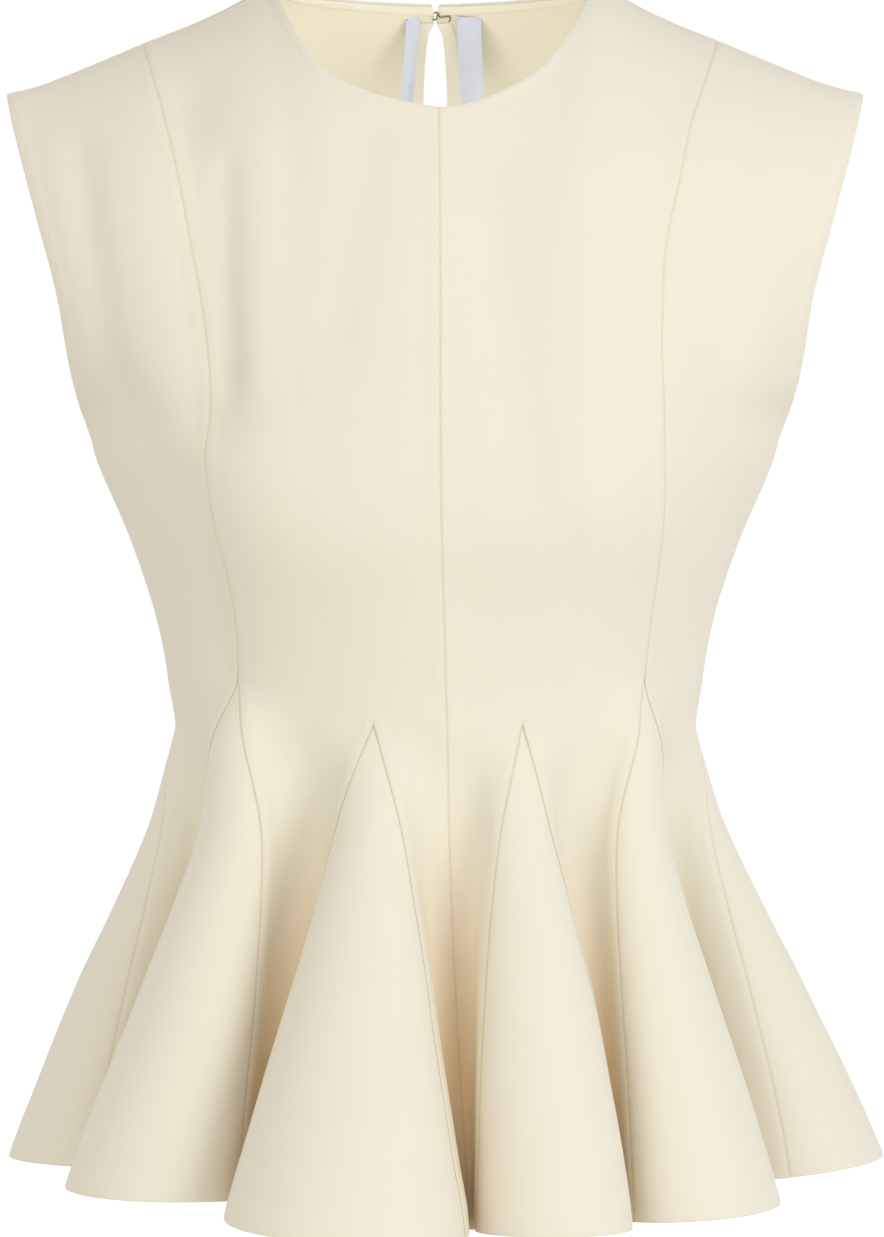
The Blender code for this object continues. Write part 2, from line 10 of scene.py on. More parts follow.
import bmesh
import bpy
import numpy as np
from mathutils.kdtree import KDTree
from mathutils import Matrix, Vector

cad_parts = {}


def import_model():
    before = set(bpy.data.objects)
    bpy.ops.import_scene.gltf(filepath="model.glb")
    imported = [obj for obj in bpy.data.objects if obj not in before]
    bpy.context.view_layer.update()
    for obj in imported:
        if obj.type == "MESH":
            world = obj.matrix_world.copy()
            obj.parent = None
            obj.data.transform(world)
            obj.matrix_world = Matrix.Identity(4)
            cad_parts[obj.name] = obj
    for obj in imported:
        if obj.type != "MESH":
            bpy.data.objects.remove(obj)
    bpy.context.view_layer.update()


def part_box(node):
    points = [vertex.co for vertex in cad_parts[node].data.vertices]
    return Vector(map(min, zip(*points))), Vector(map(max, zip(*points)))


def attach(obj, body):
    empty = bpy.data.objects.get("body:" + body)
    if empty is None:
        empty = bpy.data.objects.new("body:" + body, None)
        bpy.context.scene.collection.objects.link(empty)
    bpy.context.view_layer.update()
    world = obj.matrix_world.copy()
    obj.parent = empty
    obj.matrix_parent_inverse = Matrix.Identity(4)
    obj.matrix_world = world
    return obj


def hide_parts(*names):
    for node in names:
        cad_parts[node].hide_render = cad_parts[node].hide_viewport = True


MM = 0.001

# Cloth and trim
WALL = 1.8
EDGE_ROUND = 0.5
EDGE_ROUND_REACH = 0.55
BAND_HEIGHT = 6.0
STRIP_WIDTH = 7.0
LABEL_WALL = 0.35
WIRE = 0.85
WIRE_LOOP = 1.25
LOOP_LIFT = WIRE_LOOP * 1.3
HOOK_HEIGHT = -6.2
HOOK_X = -0.4
HOOK_BILL_X = 2.0
HOOK_BILL_HALF = 0.4
EYE_X = 3.0
EYE_SIZE = 1.7
EYE_SLANT = 0.8

# Heights
UNDERARM = -205.0
SPLIT = -330.0
HEM_LEVEL = -565.0
SLIT_POINT = -350.0
SHOULDER_ROUND = 88.0
NECK_POINT_X = 80.0
TIP_X = 204.0

# The body ring at each height: half its width, and how far the front and the back stand from the centre.
RING = (
    # height, half_width, front, back
    (30.0, 244.0, 70.0, 78.0),
    (0.0, 240.0, 76.0, 84.0),
    (-51.5, 232.0, 84.0, 98.0),
    (-92.0, 222.0, 96.0, 107.0),
    (-128.0, 210.0, 105.0, 110.0),
    (-168.0, 190.5, 114.0, 109.0),
    (-195.0, 175.5, 119.0, 107.0),
    (-205.0, 167.5, 120.5, 106.0),
    (-225.0, 161.0, 122.5, 104.0),
    (-263.0, 144.5, 120.0, 99.0),
    (-301.0, 132.5, 108.0, 94.0),
    (-340.0, 126.0, 99.0, 91.0),
    (-359.0, 125.5, 98.0, 92.0),
    (-397.0, 123.5, 102.0, 97.0),
    (-435.0, 131.5, 112.0, 107.0),
    (-473.0, 143.5, 126.0, 121.0),
    (-511.0, 156.0, 142.0, 137.0),
    (-554.0, 169.5, 159.0, 154.0),
    (-600.0, 182.0, 173.0, 168.0),
)

# The shoulder line seen from the front. Its inner rows carry the surface on over the neck opening.
SHOULDER = (
    # x, height
    (0.0, 24.0),
    (40.0, 15.0),
    (NECK_POINT_X, 0.0),
    (96.0, -9.5),
    (112.0, -17.4),
    (135.0, -26.8),
    (157.0, -35.6),
    (183.0, -45.4),
    (TIP_X, -51.5),
    (230.0, -60.0),
)

# The edge of the armhole seen from the front.
ARMHOLE = (
    # height, x
    (-51.5, TIP_X),
    (-72.5, 198.5),
    (-111.0, 187.5),
    (-149.0, 177.5),
    (-187.0, 171.5),
    (UNDERARM, 167.5),
)

# The necklines and the seams of the two sides, measured from the centre line as seen from the front.
FRONT_NECK_LEFT = (
    # x, height
    (-1.8, -64.5),
    (16.7, -61.0),
    (30.6, -56.9),
    (43.3, -51.4),
    (57.6, -39.0),
    (68.0, -22.0),
    (75.0, -8.0),
    (NECK_POINT_X, 0.0),
)
FRONT_NECK_RIGHT = (
    # x, height
    (1.8, -64.5),
    (12.0, -63.4),
    (22.7, -60.1),
    (36.7, -53.7),
    (49.5, -44.9),
    (60.0, -31.6),
    (67.5, -19.3),
    (73.0, -7.3),
    (NECK_POINT_X, 0.0),
)
BACK_NECK = (
    # x, height
    (0.0, -1.6),
    (25.0, -1.5),
    (50.0, -1.0),
    (68.0, -0.4),
    (NECK_POINT_X, 0.0),
)

FRONT_CENTRE_SEAM = (
    # height, x
    (-64.5, 1.8),
    (-130.0, 2.4),
    (-250.0, 2.8),
    (SPLIT, 4.9),
)

# The princess seams, from the shoulder to where their godets start.
FRONT_PRINCESS_LEFT = (
    # height, x
    (-26.5, 139.0),
    (-34.0, 136.5),
    (-90.0, 121.2),
    (-130.0, 113.8),
    (-161.0, 108.4),
    (-197.0, 104.6),
    (-230.0, 102.7),
    (-256.0, 98.9),
    (-282.0, 93.7),
    (-302.0, 91.7),
    (SPLIT, 91.5),
)
FRONT_PRINCESS_RIGHT = (
    # height, x
    (-25.0, 134.5),
    (-51.0, 125.9),
    (-66.0, 120.5),
    (-96.0, 113.8),
    (-126.0, 107.4),
    (-165.0, 105.0),
    (-198.0, 104.0),
    (-265.0, 101.0),
    (SPLIT, 97.5),
)
BACK_PRINCESS_LEFT = (
    # height, x
    (-26.5, 139.0),
    (-60.0, 132.0),
    (-110.0, 119.0),
    (-170.0, 105.0),
    (-230.0, 97.0),
    (-290.0, 93.0),
    (SPLIT, 94.0),
)
BACK_PRINCESS_RIGHT = (
    # height, x
    (-25.0, 134.5),
    (-60.0, 127.0),
    (-110.0, 116.0),
    (-170.0, 104.0),
    (-230.0, 97.0),
    (-290.0, 93.0),
    (SPLIT, 94.0),
)

# The keyhole of the centre back, as half its width.
KEYHOLE = (
    # height, half_width
    (-1.6, 2.0),
    (-4.0, 1.1),
    (-7.0, 0.5),
    (-9.0, 0.8),
    (-12.5, 2.8),
    (-16.5, 3.8),
    (-26.0, 4.9),
    (-36.0, 5.6),
    (-46.0, 5.9),
    (-84.0, 5.9),
    (-94.0, 5.2),
    (-101.0, 3.2),
    (-105.0, 0.05),
)

# The valleys between the godets: their bearing from the centre front, at the waist and at the hem.
VALLEYS = (
    # number, waist_degrees, hem_degrees
    (-5, -180.0, -180.0),
    (-4, -146.0, -143.0),
    (-3, -107.0, -104.0),
    (-2, -64.0, -68.0),
    (-1, -28.4, -33.4),
    (0, 2.2, 5.9),
    (1, 35.4, 32.0),
    (2, 65.0, 62.5),
    (3, 108.0, 107.0),
    (4, 146.0, 149.0),
    (5, 180.0, 180.0),
)

# A godet fills the space between a valley and the next one.
GODETS = (
    # name, height of its point, widths at the hem on either side of its middle, steepest fold at the hem
    ("godet_back_centre_left", -350.0, 70.0, 72.0, 102.0),
    ("godet_back_princess_left", -330.0, 74.0, 72.0, 103.5),
    ("godet_side_left", -350.0, 66.0, 62.0, 102.0),
    ("godet_front_princess_left", -330.0, 80.0, 75.0, 104.0),
    ("godet_front_centre_left", -350.0, 86.0, 70.0, 104.0),
    ("godet_front_centre_right", -350.0, 56.0, 52.0, 103.0),
    ("godet_front_princess_right", -330.0, 64.0, 62.0, 103.0),
    ("godet_side_right", -350.0, 70.0, 72.0, 102.0),
    ("godet_back_princess_right", -330.0, 72.0, 76.0, 104.0),
    ("godet_back_centre_right", -350.0, 66.0, 64.0, 101.0),
)
POINT_WIDTH = 0.2
FOLD_ONSET = 0.16
LOBE_SHARE_TOP = 0.34
LOBE_SHARE_HEM = 0.935
FOLD_INWARD = 0.46

# The hem round the ring: longest in the middle of the front, shortest at the side seams.
HEM = (
    # place, height
    (-5.0, -572.0),
    (-4.0, -569.0),
    (-3.0, -561.0),
    (-2.5, -556.0),
    (-2.0, -559.0),
    (-1.5, -564.0),
    (-1.0, -567.5),
    (-0.5, -576.0),
    (0.5, -577.0),
    (1.0, -576.0),
    (1.5, -571.0),
    (2.0, -565.0),
    (2.5, -555.0),
    (3.0, -561.0),
    (4.0, -569.0),
    (5.0, -572.0),
)

# The cut gives the bust its fullness along the princess seams.
BUST_X = 84.0
BUST_HEIGHT = -246.0
BUST_FULLNESS = 11.0
BUST_WIDTH = 44.0
BUST_LENGTH = 52.0

# Shares of the way down the upper body and down the hem, close together where an edge is sewn or turned.
UPPER_ROWS = (0, 0.003, 0.006, 0.01, 0.015, 0.021, 0.028, 0.036, 0.046, 0.057, *np.linspace(0.068, 1, 92))
LOWER_LEVELS = (
    *np.linspace(SPLIT, SLIT_POINT, 8)[:-1],
    *np.linspace(SLIT_POINT, -559, 70),
    *(-561, -563, -564, HEM_LEVEL),
)
HALF_CELL_SHARES = (
    *(0, 0.012, 0.028, 0.05, 0.08, 0.115, 0.155),
    *np.linspace(0.2, 0.8, 14),
    *(0.845, 0.885, 0.92, 0.95, 0.972, 0.988, 1),
)
FOLD_CROWDING = 1.9

# How a seam is drawn in, and how far and how high the cloth turned under an edge lifts it
SEAM_DEPTH = 0.3
SEAM_SPREAD = 0.6
# The width of the painted shade along a seam's fold.
PAINTED_SEAM_WIDTH = 0.5
ALLOWANCE_SLOPE = 0.9
STRIP_WALL = 0.7
STRIP_GAP = 0.08
STRIP_SHARES = (0.02, 0.05, 0.12, 0.25, 0.5, 0.75, 0.88, 0.95, 1)
UNEVENNESS = 0.35
PAINTED_FOLD_LIGHT_WIDTH = 0.14  # how far the painted bounce light and shade of the hem's folds spreads, as a share of the space between two valleys
ALLOWANCES = {"seam": (5.5, 0.32), "neck": (3.6, 0.35), "armhole": (7.0, 0.4), "hem": (26.0, 0.1)}

# Labels at the back of the neck, hanging side by side. They are bare.
LABELS = (
    # name, x at the top, x at the bottom, width, turn at the bottom in degrees
    ("neck_label_left", -10.9, -14.4, 6.6, 25.0),
    ("neck_label_right", 16.6, 18.4, 11.6, 8.0),
)
LABEL_TOP = -8.0
LABEL_LENGTH = 45.0
STITCH = 1.6
STITCH_INWARD = 0.7
STITCH_BELOW_TOP = 0.4
THREAD = 0.4

# Pattern sizes in metres. A wave texture of scale s repeats every 0.314 / s metres.
WAVE_REPEAT = 0.314
WALE = 0.00055
COURSE = 0.00045
PEBBLE = 0.0014
DYE_PATCH = 0.06
WARP_END = 0.00025

# Colours as a picture editor writes them
KNIT_CREAM = "#EBE6D6"
KNIT_DEEP = "#E7E0CD"
FACING_CREAM = "#EEEADD"
# Painted shade in the fold of a seam: its tan colour and how much of it is mixed in.
PAINTED_SEAM_TAN = "#C4A97A"
PAINTED_SEAM_TINT = 0.3
THREAD_GREY = "#5E6078"
WIRE_GREY = "#8E8878"
LABEL_WHITE = "#DCE2F2"
LABEL_SHADE = "#CFD6EA"
# Painted bounce light and shade deep in the hem's folds: its golden colour and how much of it is mixed in.
PAINTED_FOLD_GOLD = "#E8C58E"
PAINTED_FOLD_TINT = 0.62

# The picture: a long lens, and a pixel of the body's plane in millimetres
MILLIMETRES_A_PIXEL = 0.477
PICTURE_HEIGHT = 1237
PICTURE_MIDDLE_X = 3.3
PICTURE_MIDDLE_HEIGHT = -300.8
CAMERA_DISTANCE = 2810.0
SENSOR_HEIGHT = 36.0

# The stage, in metres
FLOOR = -1.05
FLOOR_HALF_SIZE = 12
FLOOR_GLOW = 0.6
ROOM_LIGHT = 0.67
BACKDROP_LIGHT = 1.04
LIGHTS = (
    # name, place, what it is aimed at, size, power, colour. The last one is inside, for the back of the neck.
    ("key_front_right", (2.2, -2.4, 0.2), (0, 0, -0.3), 1.6, 36.0, "#FFFFFE"),
    ("fill_front_left", (-1.7, -2.4, 0.1), (0, 0, -0.3), 1.6, 15.5, "#FFF2DC"),
    ("inside_neck", (0.0, -0.04, -0.15), (0, 0.1, -0.05), 0.14, 0.13, "#FFFCF4"),
)

# Soft creases of the worn cloth. Facing is -1 on the front and 1 on the back, and depth is inward.
CREASES = (
    # facing, start x, start height, end x, end height, half width, depth
    (-1, -116.0, -62.0, -103.0, -205.0, 15.0, 4.2),
    (-1, -97.0, -92.0, -95.0, -192.0, 7.0, 2.4),
    (-1, -78.0, -80.0, -82.0, -190.0, 9.0, -1.0),
    (-1, -33.0, -84.0, -44.0, -170.0, 13.0, 2.2),
    (-1, 24.0, -100.0, 44.0, -240.0, 15.0, 2.4),
    (-1, -166.0, -84.0, -152.0, -190.0, 9.0, 2.6),
    (-1, -150.0, -190.0, -126.0, -236.0, 10.0, 2.4),
    (-1, -112.0, -240.0, -98.0, -322.0, 10.0, 2.4),
    (-1, 140.0, -85.0, 131.0, -190.0, 13.0, 2.4),
    (-1, 104.0, -60.0, 98.0, -180.0, 12.0, 1.8),
    (-1, 66.0, -270.0, 74.0, -330.0, 12.0, 1.6),
    (1, -98.0, -80.0, -90.0, -200.0, 14.0, 3.0),
    (1, 98.0, -70.0, 88.0, -210.0, 16.0, 3.2),
    (1, 30.0, -200.0, 44.0, -290.0, 13.0, 2.4),
    (1, -34.0, -230.0, -48.0, -310.0, 12.0, 2.0),
    (1, 150.0, -120.0, 132.0, -215.0, 11.0, 2.4),
    (1, -148.0, -90.0, -136.0, -200.0, 10.0, 2.2),
)


class Half(NamedTuple):
    """What the front and the back of the cut differ in. Pairs are for the viewer's left and right."""

    back: bool
    centre: float  # the ring places of the centre seam, the slit and the princess seam
    slit: float
    seam: float
    neck: tuple
    princess: tuple


FRONT_NECK, FRONT_PRINCESS = (FRONT_NECK_LEFT, FRONT_NECK_RIGHT), (FRONT_PRINCESS_LEFT, FRONT_PRINCESS_RIGHT)
FRONT = Half(False, 0.0, 0.5, 1.5, FRONT_NECK, FRONT_PRINCESS)
BACK = Half(True, 5.0, 4.5, 3.5, (BACK_NECK, BACK_NECK), (BACK_PRINCESS_LEFT, BACK_PRINCESS_RIGHT))
SIDE_SEAM = 2.5
UNDERARM_SHARE = 0.56  # how far down the upper rows the underarm comes
NECK_SHARE = 0.62  # how much of a centre panel's top edge is its neckline
SEAM_LEAD = -250.0  # the height from which a seam is led to its godet's point


def of_side(pair, side):
    return pair[0] if side < 0 else pair[1]


def column(table, number):
    """One column of a table, as an array."""
    return np.array([row[number] for row in table], float)


def smooth(at, knots, values):
    """A smooth curve through the knots of a table, read at one or more places."""
    at = np.asarray(at, float)
    if knots[0] > knots[-1]:
        knots, values = knots[::-1], values[::-1]
    slopes = np.gradient(values, knots)
    at = np.clip(at, knots[0], knots[-1])
    i = np.clip(np.searchsorted(knots, at) - 1, 0, len(knots) - 2)
    width = knots[i + 1] - knots[i]
    t = (at - knots[i]) / width
    start = values[i] * (1 + 2 * t) * (1 - t) ** 2 + slopes[i] * width * t * (1 - t) ** 2
    end = values[i + 1] * t * t * (3 - 2 * t) - slopes[i + 1] * width * t * t * (1 - t)
    return start + end


def eased(value, start, end):
    """0 before start, 1 after end and a soft step between them."""
    t = np.clip((value - start) / (end - start), 0, 1)
    return t * t * (3 - 2 * t)


def ring_sizes(height):
    """Half width, front depth and back depth of the body ring."""
    return [smooth(height, column(RING, 0), column(RING, i)) for i in (1, 2, 3)]


def shoulder_height(x):
    return smooth(np.abs(x), column(SHOULDER, 0), column(SHOULDER, 1))


def valley_bearings(height):
    """The bearing in radians of every valley at a height; an array has one more axis."""
    share = np.clip((SPLIT - height) / (SPLIT - HEM_LEVEL), 0, 1.1)[..., None]
    return np.radians(column(VALLEYS, 1) + (column(VALLEYS, 2) - column(VALLEYS, 1)) * share)


def godet_number(place):
    """The row of GODETS that fills the space at a place on the ring."""
    return np.clip(np.floor(place).astype(int), -5, 4) + 5


def below_point(point, height):
    """How far down its godet a height is, from 0 at the godet's point to 1 at the hem."""
    return np.clip((point - height) / (point - HEM_LEVEL), 0, 1.08)


def folds(height):
    """Of all ten godets at a height: the ring's length, the steepest angle, the lobe's share and the swing.

    The ring's bearings at the eleven valleys and how far in they lie come with them.
    """
    bearings = valley_bearings(height)
    before, after = bearings[..., :-1], bearings[..., 1:]
    half_width, front, back = (size[..., None] for size in ring_sizes(height))
    middle = (before + after) / 2
    depth = np.where(np.cos(middle) > 0, front, back)
    pitch = np.hypot(half_width * np.cos(middle), depth * np.sin(middle)) * (after - before)
    down = below_point(column(GODETS, 1), height[..., None])
    growth = (1 - np.exp(-(down**2) / (down + 0.05) / FOLD_ONSET)) / (1 - math.exp(-1 / FOLD_ONSET))
    steepest = np.maximum(np.radians(column(GODETS, 4)) * growth, 1e-3)
    lobe = LOBE_SHARE_TOP + (LOBE_SHARE_HEM - LOBE_SHARE_TOP) * np.minimum(down, 1) ** 0.7
    swing = pitch * np.tan(steepest / 2) / 2
    inward = FOLD_INWARD * (swing + np.roll(swing, 1, -1)) / 2
    return pitch, steepest, lobe, swing, bearings, np.concatenate([inward, inward[..., :1]], -1)


def worn_surface(place, height):
    """The outer face of the cloth, from a place on the ring (-5 to 5) and a height."""
    place, height = np.broadcast_arrays(np.asarray(place, float), np.asarray(height, float))
    cell = godet_number(place)
    along = place + 5 - cell

    def here(values, later=0):
        return np.take_along_axis(values, cell[..., None] + later, -1)[..., 0]

    pitch, steepest, lobe, swing, bearings, inward = folds(height)
    pitch, steepest, lobe, swing = here(pitch), here(steepest), here(lobe), here(swing)
    before, after = here(bearings), here(bearings, 1)
    radii = pitch / (2 * np.sin(steepest))
    # The cloth turns outward in the valley, back over the lobe, and outward again into the next valley.
    valley = (1 - lobe) / 2
    from_end = np.minimum(along, 1 - along)
    in_valley = from_end < valley
    angle = np.where(in_valley, steepest * from_end / valley, steepest * (1 - 2 * (from_end - valley) / lobe))
    bend = np.where(in_valley, (1 - lobe) * radii, -lobe * radii)
    run = bend * np.sin(angle) + np.where(in_valley, 0, pitch / 2)
    rise = bend * (1 - np.cos(angle)) + np.where(in_valley, 0, swing)
    run = np.where(along > 0.5, pitch - run, run) / pitch
    rise = rise - here(inward) * (1 - run) - here(inward, 1) * run
    bearing = before + (after - before) * run
    half_width, front, back = ring_sizes(height)
    depth = np.where(np.cos(bearing) > 0, front, back)
    x, y = half_width * np.sin(bearing), -depth * np.cos(bearing)
    out_x, out_y = depth * np.sin(bearing), -half_width * np.cos(bearing)
    length = np.hypot(out_x, out_y)
    bust_across, bust_down = (np.abs(x) - BUST_X) / BUST_WIDTH, (height - BUST_HEIGHT) / BUST_LENGTH
    bust = np.exp(-(bust_across**2) - bust_down**2)
    rise = rise + BUST_FULLNESS * bust * np.maximum(np.cos(bearing), 0)
    x, y = x + out_x / length * rise, y + out_y / length * rise
    drop = np.clip(shoulder_height(x) - height, 0, SHOULDER_ROUND)
    y = y * np.sqrt(1 - ((SHOULDER_ROUND - drop) / SHOULDER_ROUND) ** 2)
    return np.stack([x, y, height], -1)


def outward(place, height):
    """The direction out of the cloth at a place."""
    step = 0.004
    across = worn_surface(place + step, height) - worn_surface(place - step, height)
    down = worn_surface(place, height - 0.6) - worn_surface(place, height)
    normal = np.cross(down, across)
    return normal / np.linalg.norm(normal, axis=-1, keepdims=True)


def godet_sides(number, height):
    """The shares of its cell's cloth that a godet takes on either side of its middle, 0 above its point."""
    point, before, after = GODETS[number][1:4]
    if height > point:
        return 0.0, 0.0
    pitch, fold_angle = (values[number] for values in folds(np.array(height))[:2])
    cloth_length = float(pitch * fold_angle / np.sin(fold_angle))
    down = float(below_point(point, height))
    return tuple((POINT_WIDTH + (width - POINT_WIDTH) * down) / cloth_length for width in (before, after))


def edge_place(middle, height, later):
    """The ring place of a godet's edge, the one before its middle or the later one."""
    before, after = godet_sides(int(godet_number(np.array(middle))), height)
    return middle + after if later else middle - before


def row_height(level, place):
    """The height of a row below the split. The last row is the hem, a little longer at the front and back."""
    hem = smooth(place, column(HEM, 0), column(HEM, 1))
    return level + (hem - HEM_LEVEL) * ((SPLIT - level) / (SPLIT - HEM_LEVEL)) ** 2


def on_ring(x, height, back):
    """A line of (place, height) points of the upper body, from x as seen from the front."""
    bearing = np.arcsin(np.clip(x / ring_sizes(height)[0], -1, 1))
    bearing = np.where(x < 0, -math.pi, math.pi) - bearing if back else bearing
    return np.stack([np.interp(bearing, np.radians(column(VALLEYS, 1)), column(VALLEYS, 0)), height], -1)


def shared_out(line, shares):
    """Points at shares of the length of a line of (place, height) points, measured on the cloth."""
    on_cloth = worn_surface(line[:, 0], line[:, 1])
    along = np.concatenate([[0], np.cumsum(np.linalg.norm(np.diff(on_cloth, axis=0), axis=1))])
    return np.stack([np.interp(shares * along[-1], along, line[:, i]) for i in (0, 1)], -1)


def neck_line(half, side):
    table = of_side(half.neck, side)
    x = np.linspace(KEYHOLE[0][1] if half.back else table[0][0], NECK_POINT_X, 240)
    return on_ring(side * x, smooth(x, column(table, 0), column(table, 1)), half.back)


def shoulder_line(half, side, start_x, end_x):
    x = np.linspace(start_x, end_x, 200)
    return on_ring(side * x, shoulder_height(x), half.back)


def led_to(line, height, place, half):
    """A seam's line led smoothly to the ring place that it has at the split."""
    split = on_ring(smooth(SPLIT, height[:, 0], height[:, 1]), np.array(SPLIT), half.back)
    near_split = np.clip((SEAM_LEAD - line[..., 1]) / (SEAM_LEAD - SPLIT), 0, 1) ** 2
    line[..., 0] += near_split * (place - split[0])
    return line


def princess_line(half, side, shares):
    """The princess seam from the shoulder to the split, where it meets its godet's point."""
    table = np.array(of_side(half.princess, side))
    height = table[0, 0] + (SPLIT - table[0, 0]) * shares
    line = on_ring(side * smooth(height, table[:, 0], table[:, 1]), height, half.back)
    return led_to(line, table * (1, side), side * half.seam, half)


def armhole_line(half, side, shares):
    """The armhole from the shoulder to the underarm, and the side seam below it."""
    height = np.interp(shares, (0, UNDERARM_SHARE, 1), (ARMHOLE[0][0], UNDERARM, SPLIT))
    edge = on_ring(side * smooth(height, column(ARMHOLE, 0), column(ARMHOLE, 1)), height, half.back)
    edge[..., 0] = np.where(height <= UNDERARM, side * SIDE_SEAM, edge[..., 0])
    return edge


def centre_line(half, side, shares):
    """The centre seam. On the back it runs round the edge of the keyhole."""
    if half.back:
        height = half.neck[0][0][1] + (SPLIT - half.neck[0][0][1]) * shares
        opening = smooth(height, column(KEYHOLE, 0), column(KEYHOLE, 1))
        opening = np.where(height < KEYHOLE[-1][0], 0, np.maximum(opening, 0))
        return on_ring(side * np.maximum(opening, 1e-6), height, True)
    seam = np.array(FRONT_CENTRE_SEAM)
    height = seam[0, 0] + (SPLIT - seam[0, 0]) * shares
    return led_to(on_ring(smooth(height, seam[:, 0], seam[:, 1]), height, False), seam, 0.0, half)


def patch(left, right, top, bottom, across, down):
    """A smooth grid between four edges of (place, height) points. Shares down may differ by column."""
    top, bottom, a, b = top[None], bottom[None], across[None, :, None], down[..., None]
    first, last = left(down), right(down)
    corners = (1 - b) * ((1 - a) * top[:, :1] + a * top[:, -1:])
    corners = corners + b * ((1 - a) * bottom[:, :1] + a * bottom[:, -1:])
    return (1 - a) * first + a * last + (1 - b) * top + b * bottom - corners


def columns_between(start, end, fold_at, crowding):
    """Places of the columns between a valley and a godet's edge, or between two edges round a valley."""
    even = np.array(HALF_CELL_SHARES)
    shares = even * (1 - crowding) + even ** (1 + (FOLD_CROWDING - 1) * crowding) * crowding
    if fold_at == start:
        return start + (end - start) * shares
    before = fold_at + (start - fold_at) * shares[::-1]
    return np.concatenate([before, (fold_at + (end - fold_at) * shares)[1:]])


def panel_grid(half, side, centre):
    """The (place, height) grid of a centre or side panel, on the right (1) or left (-1)."""
    toward = -1 if half.back else 1
    rows = []
    for level in LOWER_LEVELS:
        crowding = (SPLIT - level) / (SPLIT - HEM_LEVEL)
        # Whether a panel's inner edge is the later one of a godet's two, as places grow round the ring.
        inner_later = side * toward > 0
        seam, slit, at_side = side * half.seam, side * half.slit, side * SIDE_SEAM
        near_seam = edge_place(seam, level, not inner_later) * side
        past_seam = edge_place(seam, level, inner_later) * side
        if centre:
            near_slit = edge_place(slit, min(level, SLIT_POINT), not inner_later) * side
            past_slit = edge_place(slit, min(level, SLIT_POINT), inner_later) * side
            near = columns_between(half.centre, near_slit, half.centre, crowding)
            far = columns_between(past_slit, near_seam, (half.slit + half.seam) / 2, crowding)
            place = np.concatenate([near, far])
        else:
            near_side = edge_place(at_side, level, not inner_later) * side
            place = columns_between(past_seam, near_side, (half.seam + SIDE_SEAM) / 2, crowding)
        rows.append(np.stack([side * place, row_height(level, side * place)], -1))
    lower = np.array(rows)
    across = np.abs(lower[0, :, 0] - lower[0, 0, 0]) / np.abs(lower[0, -1, 0] - lower[0, 0, 0])
    neck_column = int(np.argmin(np.abs(across - NECK_SHARE))) if centre else 0
    shoulder_x = of_side(half.princess, side)[0][1]
    # Where the cloth turns over the shoulder, its rows crowd towards the seam.
    toward_shoulder = eased(across, 0.1, across[neck_column]) if centre else np.ones_like(across)
    down = np.array(UPPER_ROWS)[:, None] ** (1.15 + 0.85 * toward_shoulder)[None]
    if centre:
        corner = across[neck_column]
        neck = shared_out(neck_line(half, side), np.clip(across / corner, 0, 1))
        shoulder = shoulder_line(half, side, NECK_POINT_X, shoulder_x)
        shoulder = shared_out(shoulder, np.clip((across - corner) / (1 - corner), 0, 1))
        top = np.where((across <= corner)[:, None], neck, shoulder)
        first, last = centre_line, princess_line
    else:
        top = shared_out(shoulder_line(half, side, shoulder_x, TIP_X), across)
        first, last = princess_line, armhole_line
    left, right = (lambda shares: first(half, side, shares)), (lambda shares: last(half, side, shares))
    upper = patch(left, right, top, lower[0], across, down)
    return np.concatenate([upper[:-1], lower]), neck_column


def godet_grid(number):
    """The (place, height) grid of a godet, from its point to the hem."""
    middle = number - 4.5
    edge = np.array(HALF_CELL_SHARES)
    rows = []
    for level in LOWER_LEVELS:
        if level <= GODETS[number][1]:
            before, after = godet_sides(number, level)
            place = np.concatenate([middle - before * (1 - edge), middle + after * edge[1:]])
            rows.append(np.stack([place, row_height(level, place)], -1))
    return np.array(rows)


class Line(NamedTuple):
    """An edge of a piece and how it is finished."""

    points: np.ndarray
    finish: str


def lengths(points, axis):
    """How far along its row (1) or column (0) each point of a grid is."""
    steps = np.linalg.norm(np.diff(points, axis=axis), axis=-1)
    first = np.zeros_like(np.take(steps, [0], axis))
    return np.concatenate([first, np.cumsum(steps, axis=axis)], axis)


def distance_to(points, line):
    """The distance of every point of a grid from a line."""
    along = lengths(line[None], 1)[0]
    at = np.linspace(0, along[-1], max(int(along[-1] / 0.4), 2))
    dense = np.stack([np.interp(at, along, line[:, i]) for i in range(3)], -1)
    tree = KDTree(len(dense))
    for i, place in enumerate(dense):
        tree.insert(place, i)
    tree.balance()
    return np.array([tree.find(place)[2] for place in points.reshape(-1, 3)]).reshape(points.shape[:2])


def finish_of(points, lines):
    """How far seams and turned edges stand out, how far edges are rounded, and where a seam's fold gets
    painted shade.
    """
    relief, rounding, seam_shade_share = (np.zeros(points.shape[:2]) for _ in range(3))
    for line in lines:
        away = distance_to(points, line.points)
        if line.finish in ("seam", "godet_seam"):
            relief -= SEAM_DEPTH * np.exp(-((away / SEAM_SPREAD) ** 2))
            # Painted shade along the seam's fold.
            seam_shade_share = np.maximum(seam_shade_share, np.exp(-((away / PAINTED_SEAM_WIDTH) ** 2)))
        else:
            rounding = np.maximum(rounding, EDGE_ROUND * np.exp(-away / EDGE_ROUND_REACH))
        if line.finish in ALLOWANCES:
            width, height = ALLOWANCES[line.finish]
            relief += height * (1 - eased(away, width - ALLOWANCE_SLOPE, width + ALLOWANCE_SLOPE))
    return relief, rounding, seam_shade_share


